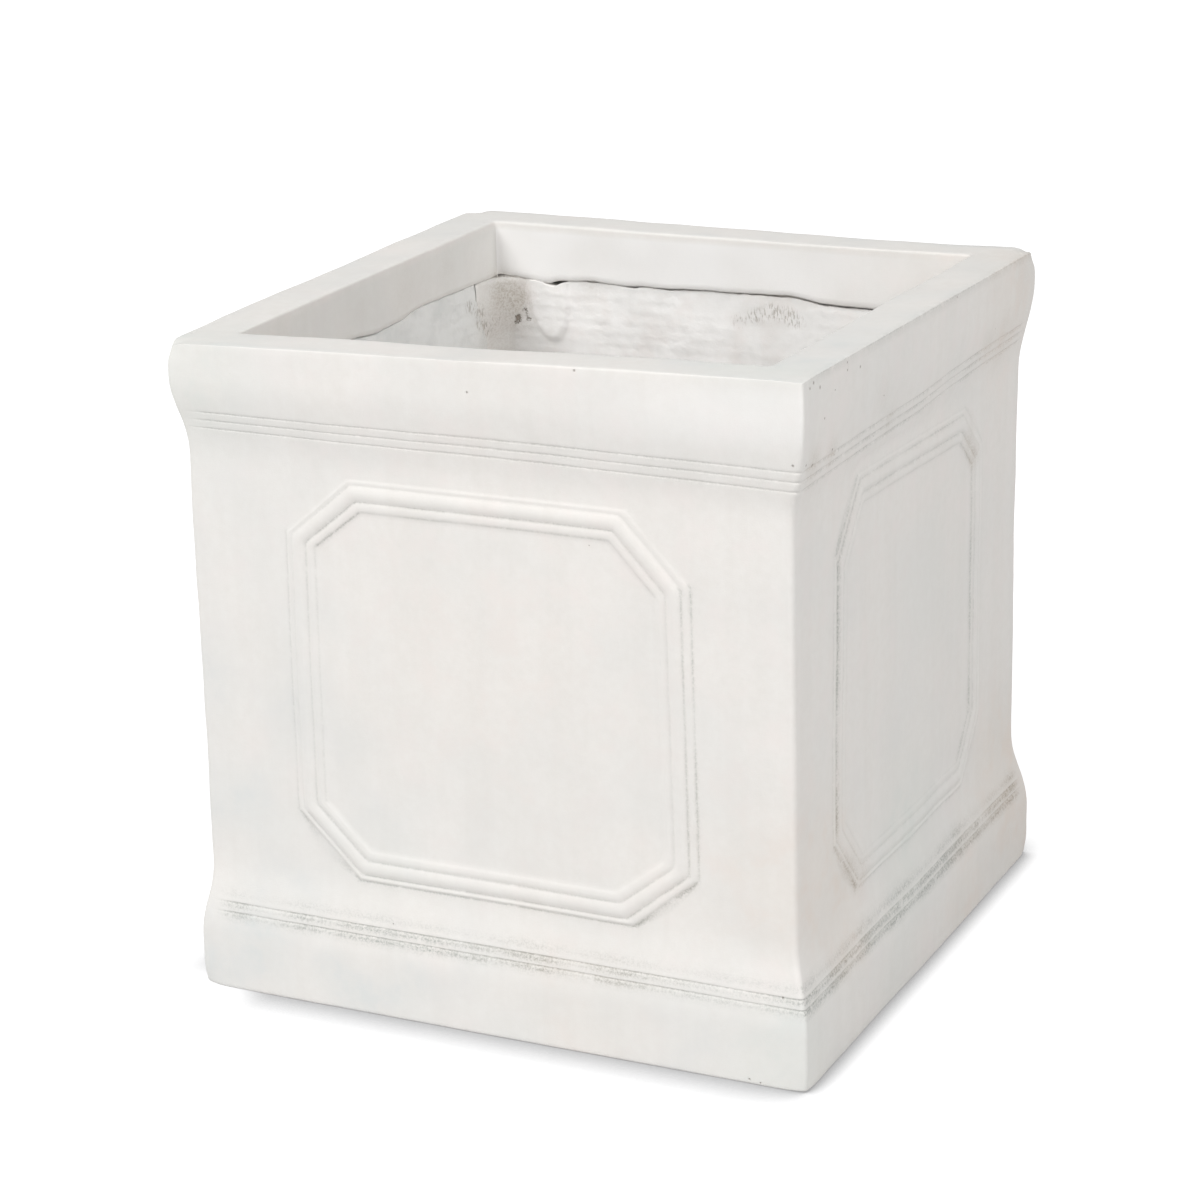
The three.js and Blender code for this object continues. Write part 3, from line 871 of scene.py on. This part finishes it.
def cast_finish(name, pale, deep, weave=0.0, holes=()):
    """Chalky cast stone: faint clouds, a fine sandy grain, pinholes and held patina, with the
    painted light and shade that its kept values carry.
    """
    stone = Finish(name)
    where = stone.place()
    # The stone itself: fine mottle, upright streaks, blushes and broad cool clouds.
    broad = stone.clouds(where, 11.0, 3.0).between(0.4, 0.66)
    blotch = stone.clouds(where, 42.0, 4.0, 0.6).between(0.45, 0.7)
    mottle = stone.clouds(where, 150.0, 5.0, 0.7).between(0.3, 0.7)
    streak = stone.clouds(stone.place((1, 1, 0.06)), 75.0, 3.0).between(0.4, 0.65)
    colour = stone.painted(mottle * 0.6 + streak * 0.35, pale, deep)
    colour = stone.painted(blotch * 0.5, colour, warm_blush)
    colour = stone.painted(broad * 0.2, colour, cool_wash_and_painted_shade)
    # The cool wash and the darkening low down, with painted shade on the left lip and the left
    # laminate; below nought, painted light that whitens the lips in the mouth and the front rim. Then
    # the tanned and green patches.
    wash_and_painted_light = stone.kept("wash_and_painted_light")
    colour = stone.painted(wash_and_painted_light.between(0.0, 1.0) * (0.55 + blotch * 0.45), colour, cool_wash_and_painted_shade)
    colour = stone.painted((0 - wash_and_painted_light).between(0.0, 1.0), colour, painted_light_white)
    tint = stone.kept("tint")
    colour = stone.painted(tint.between(0.0, 1.0) * (0.25 + blotch * 0.3), colour, tan)
    colour = stone.painted((0 - tint).between(0.0, 1.0) * (0.3 + blotch * 0.35), colour, green_grey)
    # Patina in the grooves, and stains with some painted shade among them, all broken up into specks.
    speckle = stone.clouds(where, 700.0, 3.0, 0.75)
    breaks = stone.clouds(where, 160.0, 4.0, 0.7)
    stain_and_painted_shade = stone.kept("stain_and_painted_shade")
    dirt = stone.painted((stain_and_painted_shade + tint * 0.4 + 0.03).between(0.0, 0.4), grey_patina, brown_stain_and_shade)
    smudge = stone.kept("smudge")
    soft = smudge * (0.2 + speckle.between(0.42, 0.62) * 0.55) * breaks.between(0.25, 0.5)
    colour = stone.painted(soft, colour, dirt)
    line = stone.kept("line") * breaks.between(0.3, 0.5) * (0.35 + speckle.between(0.35, 0.6) * 0.55)
    colour = stone.painted(line, colour, dirt)
    # Stains painted brown, partly painted shade in the back left corner and under the back lip.
    colour = stone.painted(stain_and_painted_shade * (0.25 + speckle.between(0.4, 0.65) * 0.35), colour, brown_stain_and_shade)
    # Scuffs, which come out as dark flecks, and scratches, which come out as short hairs.
    flecks = stone.clouds(where, 260.0, 3.0, 0.6)
    hairs = stone.clouds(stone.place((1, 1, 0.3)), 800.0, 2.0, 0.6)
    scuff = (stone.kept("scuff") * 0.4 + flecks * 0.6 + speckle * 0.4).between(0.77, 0.9) * 0.8
    scratch = hairs.between(0.5, 0.62) * stone.kept("scratch").between(0.25, 0.8) * 0.55
    colour = stone.painted(scuff, colour, bark_brown)
    colour = stone.painted(scratch, colour, grey_brown)
    hole = pitted(stone, where, holes)
    # The pits are painted dark, as painted shade in them.
    colour = stone.painted(hole * 0.7, colour, painted_pit_shade)
    # The grain and brush strokes of the surface, sunk where it is pitted, worn or dirty.
    grain = stone.clouds(where, 1300.0, 2.0, 0.6)
    strokes = stone.clouds(stone.place((1.0, 1.0, 0.5)), 110.0, 4.0, 0.55)
    relief = grain * 0.075 + strokes * 0.17 - hole * 0.5
    relief = relief - (soft + line) * speckle * 0.35 - (scuff + scratch) * 0.5
    if weave:
        relief = relief + woven(stone, where) * weave
    return stone.surface(colour, 0.92, relief)


def woven(stone, where):
    """Threads of glass mesh showing through in patches, mostly the level ones."""
    threads = []
    for way, scale in (("Z", 40.0), ("DIAGONAL", 30.0)):
        threads.append(stone.add("ShaderNodeTexWave", {"wave_type": "BANDS", "bands_direction": way}, {
            "Vector": where, "Scale": scale, "Distortion": 3.4, "Detail": 3.0, "Detail Scale": 4.0}))
    patch = stone.clouds(where, 26.0, 2.0).between(0.4, 0.62)
    return (threads[0] * 0.75 + threads[1] * 0.25) * (0.25 + patch * 0.75)


cast_stone = cast_finish("cast_stone", (0.862, 0.837, 0.803), (0.822, 0.793, 0.755), holes=pinholes)
cast_shell = finished(shell_mesh, "cast_shell_stone", cast_stone)
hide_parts("cast_shell")


# Rim core. Slurry packed by hand between the lip and the wall, which makes the rim thick.
# Its rough underside shows only as a dark ledge behind the lip's torn edge.
core_top, core_bottom, core_outer, core_inner = 404.7, 377.0, 188.2, 173.3
few_columns = mirrored(evenly(0, panel_columns[-1], 24) + [150.0, 166.0, 180.0, 192.0, 196.0, 200.0])
core_section = [(core_outer, z, hidden_corner) for z in (core_bottom, 388.0, core_top)]
core_section += [(core_inner, z, mouth_corner) for z in (core_top, 388.0, core_bottom)]
core_section += [(half, core_bottom, 2.0) for half in (177.0, 181.0, 185.0)]
core_mesh = swept_wall(core_section, few_columns)
fitted_to_plan(core_mesh, core_section)
four_walls(core_mesh)
for vert in core_mesh.verts:
    if vert.co.z < core_bottom + 1:
        vert.co.z += 1.2 + 1.1 * lumps(vert.co, 14) + 0.6 * lumps(vert.co, 6)
racked(core_mesh)
slurry = cast_finish("slurry", (0.935, 0.915, 0.885), (0.87, 0.845, 0.81), weave=0.1)
rim_core = finished(core_mesh, "rim_core_slurry", slurry)
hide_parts("rim_core")


# Wall laminates. Two layers of glass mesh in slurry behind the face coat of each wall,
# pressed on with a brush, so that the weave and folds of the mesh show through. The upper
# part sagged inward under the lip, and a smeared lobe of slurry hangs in the back left.
laminate_outer_half, laminate_inner_half = 188.2, 183.2
laminate_bottom, laminate_top = 20.3, 372.0
laminate_half_length = {front: 188.2, right_hand: 182.9, back: 188.2, left_hand: 182.9}
wall_names = {front: "front", right_hand: "right", back: "back", left_hand: "left"}
sag = 11.8
# The laminate's colour is pale slurry, raised whiter than the core's slurry as painted light inside the mouth.
laminate = cast_finish("mesh_laminate", (0.965, 0.95, 0.935), (0.905, 0.89, 0.87), weave=0.28)


# How far each laminate stops short of the lip's torn edge: place along the wall, and gap.
under_lip = {
    back: ((-170, 0.8), (-130, 0.9), (-100, 1.6), (-40, 1.9), (-20, 1.1), (20, 0.8), (40, 1.3),
           (55, 0.5), (66, 1.7), (80, 0.4), (90, 0.5), (98, 2.2), (106, 0.3), (114, 0.4),
           (124, 3.4), (134, 0.4), (150, 0.4), (170, 1.2)),
}
unseen_gap = ((0, 0.9),)


def lobe(side, along, z):
    """The smear of slurry under the lip at the back left: proud, with a crisp lower edge."""
    if side != back:
        return 0.0
    across = (along - 129 + (350 - z) * 0.1) / 15
    down = (z - 362) / 31
    return 2.6 * (1 - eased(math.hypot(across, down), 0.86, 1.02))


def laminate_rise(side, point):
    """How far a laminate stands in from its nominal face at a point."""
    spot = point + Vector((0, 2000 * side, 0))
    rise = 1.1 + 1.5 * lumps(spot, 55) + 0.8 * lumps(spot, 18) + 0.3 * lumps(spot, 7)
    return rise + sag * eased(point.z, 240, 350) + lobe(side, point.x, point.z)


for side, half_length in laminate_half_length.items():
    sheet = bmesh.new()
    across, upward = (250, 120) if side == back else (120, 80)
    bmesh.ops.create_grid(sheet, x_segments=across, y_segments=upward, size=1.0)
    for vert in sheet.verts:
        down = ((1 - vert.co.y) / 2) ** 1.5
        height = laminate_top - (laminate_top - laminate_bottom) * down
        vert.co = (vert.co.x * half_length, -laminate_inner_half, height)
    behind = bmesh.ops.extrude_face_region(sheet, geom=list(sheet.faces))
    for vert in only(BMVert, behind):
        vert.co.y = -laminate_outer_half
    bmesh.ops.recalc_face_normals(sheet, faces=sheet.faces)
    for vert in sheet.verts:
        if vert.co.y > -laminate_outer_half + 1:
            vert.co.y += laminate_rise(side, vert.co)
        edge = torn_at(side, vert.co.x) - interpolated(under_lip.get(side, unseen_gap), vert.co.x)
        vert.co.z += (edge - laminate_top) * eased(vert.co.z, laminate_top - 12, laminate_top)
    # Painted shade on the left laminate, carried as a wash.
    keep(sheet, "wash_and_painted_light", lambda vert: 0.75 if side == left_hand else 0.0)
    bmesh.ops.rotate(sheet, verts=sheet.verts, matrix=Matrix.Rotation(math.radians(90 * side), 3, "Z"))
    racked(sheet)
    piece = finished(sheet, wall_names[side] + "_wall_mesh_laminate", laminate)
    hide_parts(wall_names[side] + "_wall_laminate")


# Corner fillets. Slurry smoothed by hand into each upright inside corner, over the ends of
# the laminates, from the floor up to the lip.
fillet_corner, fillet_size = 182.9, 14.0
fillet_bottom, fillet_top = 24.6, 371.4
fillet_gap = 0.5
round_steps, upright_steps = 26, 130
fillet_names = ("back_right", "back_left", "front_left", "front_right")
for turns, name in enumerate(fillet_names):
    middle = fillet_corner - fillet_size
    curve = [(middle + fillet_size * math.sin(angle), middle + fillet_size * math.cos(angle))
             for angle in [math.radians(degrees) for degrees in evenly(0, 90, round_steps)]]
    outline = [(fillet_corner, fillet_corner, fillet_bottom)]
    outline += [(x, y, fillet_bottom) for x, y in curve]
    fillet = bmesh.new()
    drawn(fillet, outline)
    fillet.edges.new([vert for vert in fillet.verts if len(vert.link_edges) == 1])
    levels = evenly(fillet_bottom, fillet_top, upright_steps)
    bottom_edges = list(fillet.edges)
    top_edges = swept(fillet, [(0, 0, levels[1] - levels[0])] * upright_steps)
    bmesh.ops.contextual_create(fillet, geom=bottom_edges)
    bmesh.ops.contextual_create(fillet, geom=top_edges)
    bmesh.ops.recalc_face_normals(fillet, faces=fillet.faces)
    tip = Vector((fillet_corner, fillet_corner, 0))
    for vert in fillet.verts:
        spot = vert.co + Vector((700 * turns, 0, 0))
        sagged = eased(vert.co.z, 240, 366)
        reach = 1.3 + 0.3 * lumps(spot, 40) + 0.12 * lumps(spot, 12) + 0.8 * sagged
        flat = Vector((vert.co.x, vert.co.y, 0))
        if (flat - tip).length > 0.01:
            vert.co.xy = (tip + (flat - tip) * reach - Vector((1, 1, 0)) * sag * sagged).xy
    bmesh.ops.rotate(fillet, verts=fillet.verts, matrix=Matrix.Rotation(math.radians(90 * turns), 3, "Z"))
    for vert in fillet.verts:
        x, y, z = vert.co
        edges = (torn_at(back, -x) if y > 0 else torn_at(front, x),
                 torn_at(right_hand, y) if x > 0 else torn_at(left_hand, -y))
        vert.co.z += (min(edges) - fillet_gap - fillet_top) * eased(z, fillet_top - 12, fillet_top)
    racked(fillet)
    piece = finished(fillet, name + "_corner_slurry", slurry)
    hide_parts(name + "_corner_fillet")


# Floor slab. The floor of the planter, cast last in the same stone with its tapered drain
# hole, and held clear of the ground inside the foot of the walls.
slab_bottom, slab_top = 8.0, 20.0
slab_half = 188.2
drain_low, drain_high = 13.0, 15.0
floor_top = 24.3


def drain_radius(z):
    """The tapered drain hole's radius at a level, also for the plug that fits it."""
    return drain_low + (drain_high - drain_low) * (z - slab_bottom) / (floor_top - slab_bottom)


def plate(half, bottom, top, wave):
    """A level plate, square outside and round at the drain, rung by rung from the drain's foot."""
    shares = (0, 0.03, 0.08, 0.16, 0.28, 0.42, 0.58, 0.74, 0.88, 1)
    rungs = [(0, bottom)] + [(share, top) for share in shares]
    rungs += [(share, bottom) for share in reversed(shares[1:])]
    mesh = bmesh.new()
    bmesh.ops.create_circle(mesh, cap_ends=False, segments=96, radius=1.0)
    first = list(mesh.edges)
    rung, rim = list(mesh.verts), list(mesh.edges)
    for number, (share, z) in enumerate(rungs):
        if number:
            made = bmesh.ops.extrude_edge_only(mesh, edges=rim)
            rung, rim = only(BMVert, made), only(BMEdge, made)
        for vert in rung:
            way = Vector((vert.co.x, vert.co.y, 0)).normalized()
            squared = half / max(abs(way.x), abs(way.y))
            vert.co = way * (drain_radius(z) + (squared - drain_radius(z)) * share)
            vert.co.z = z
            if z == top and 0 < share < 1:
                vert.co.z += wave * (lumps(vert.co, 60) + 0.4 * lumps(vert.co, 16)) * min(1, share * 6)
    bmesh.ops.bridge_loops(mesh, edges=first + rim)
    bmesh.ops.recalc_face_normals(mesh, faces=mesh.faces)
    return mesh


slab_mesh = plate(slab_half, slab_bottom, slab_top, 0.0)
racked(slab_mesh)
slab = finished(slab_mesh, "floor_slab_stone", cast_stone)
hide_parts("floor_slab")


# Floor laminate. One layer of glass mesh in slurry brushed over the slab and round the
# drain hole, which closes the joint to the walls.
floor_mesh = plate(182.9, laminate_bottom, floor_top, 0.9)
racked(floor_mesh)
floor_laminate = finished(floor_mesh, "floor_mesh_laminate", laminate)
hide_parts("floor_laminate")


# Drain plug. A tapered stopper of black rubber pushed into the drain hole from inside,
# with a flange to stop it and a knob to pull it by. It lifts out.
plug_gap = 0.3
plug_tip, plug_seat = 10.0, floor_top + plug_gap
flange_radius, flange_top = 21.0, plug_seat + 3.5
neck_radius, neck_top = 4.5, flange_top + 5.0
grip_radius, grip_top = 8.0, neck_top + 6.0


def rounded(points, size):
    """A line of points with each of its inner corners rounded off."""
    line = [points[0]]
    for before, corner, after in zip(points, points[1:], points[2:]):
        corner, ends = Vector(corner), (Vector(before), Vector(after))
        ways = [(end - corner).normalized() * min(size, (end - corner).length * 0.45) for end in ends]
        for share in evenly(0, 1, 4):
            line.append(tuple(corner + ways[0] * (1 - share) ** 2 + ways[1] * share ** 2))
    return line + [points[-1]]


tip_radius, seat_radius = drain_radius(plug_tip) - plug_gap, drain_radius(plug_seat) - plug_gap
plug_rounding = 1.1
plug_section = rounded((
    (0, plug_tip), (tip_radius, plug_tip), (seat_radius, plug_seat), (flange_radius, plug_seat),
    (flange_radius, flange_top), (neck_radius, flange_top), (neck_radius, neck_top),
    (grip_radius, neck_top), (grip_radius, grip_top), (0, grip_top),
), plug_rounding)
plug_mesh = bmesh.new()
drawn(plug_mesh, [(radius, 0, z) for radius, z in plug_section])
bmesh.ops.spin(plug_mesh, geom=list(plug_mesh.verts) + list(plug_mesh.edges), cent=(0, 0, 0), axis=(0, 0, 1),
               angle=math.radians(360), steps=64, use_merge=True, use_duplicate=False)
bmesh.ops.remove_doubles(plug_mesh, verts=plug_mesh.verts, dist=0.001)
bmesh.ops.recalc_face_normals(plug_mesh, faces=plug_mesh.faces)

rubber = Finish("plug_rubber")
where = rubber.place()
dust = rubber.clouds(where, 180.0, 4.0, 0.6).between(0.45, 0.75)
bloom = rubber.painted(dust * 0.5, (0.022, 0.022, 0.023), (0.11, 0.105, 0.1))
relief = rubber.clouds(where, 900.0, 2.0) * 0.04
plug = finished(plug_mesh, "drain_plug_rubber", rubber.surface(bloom, 0.55 + dust * 0.25, relief), "plug")
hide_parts("drain_plug")
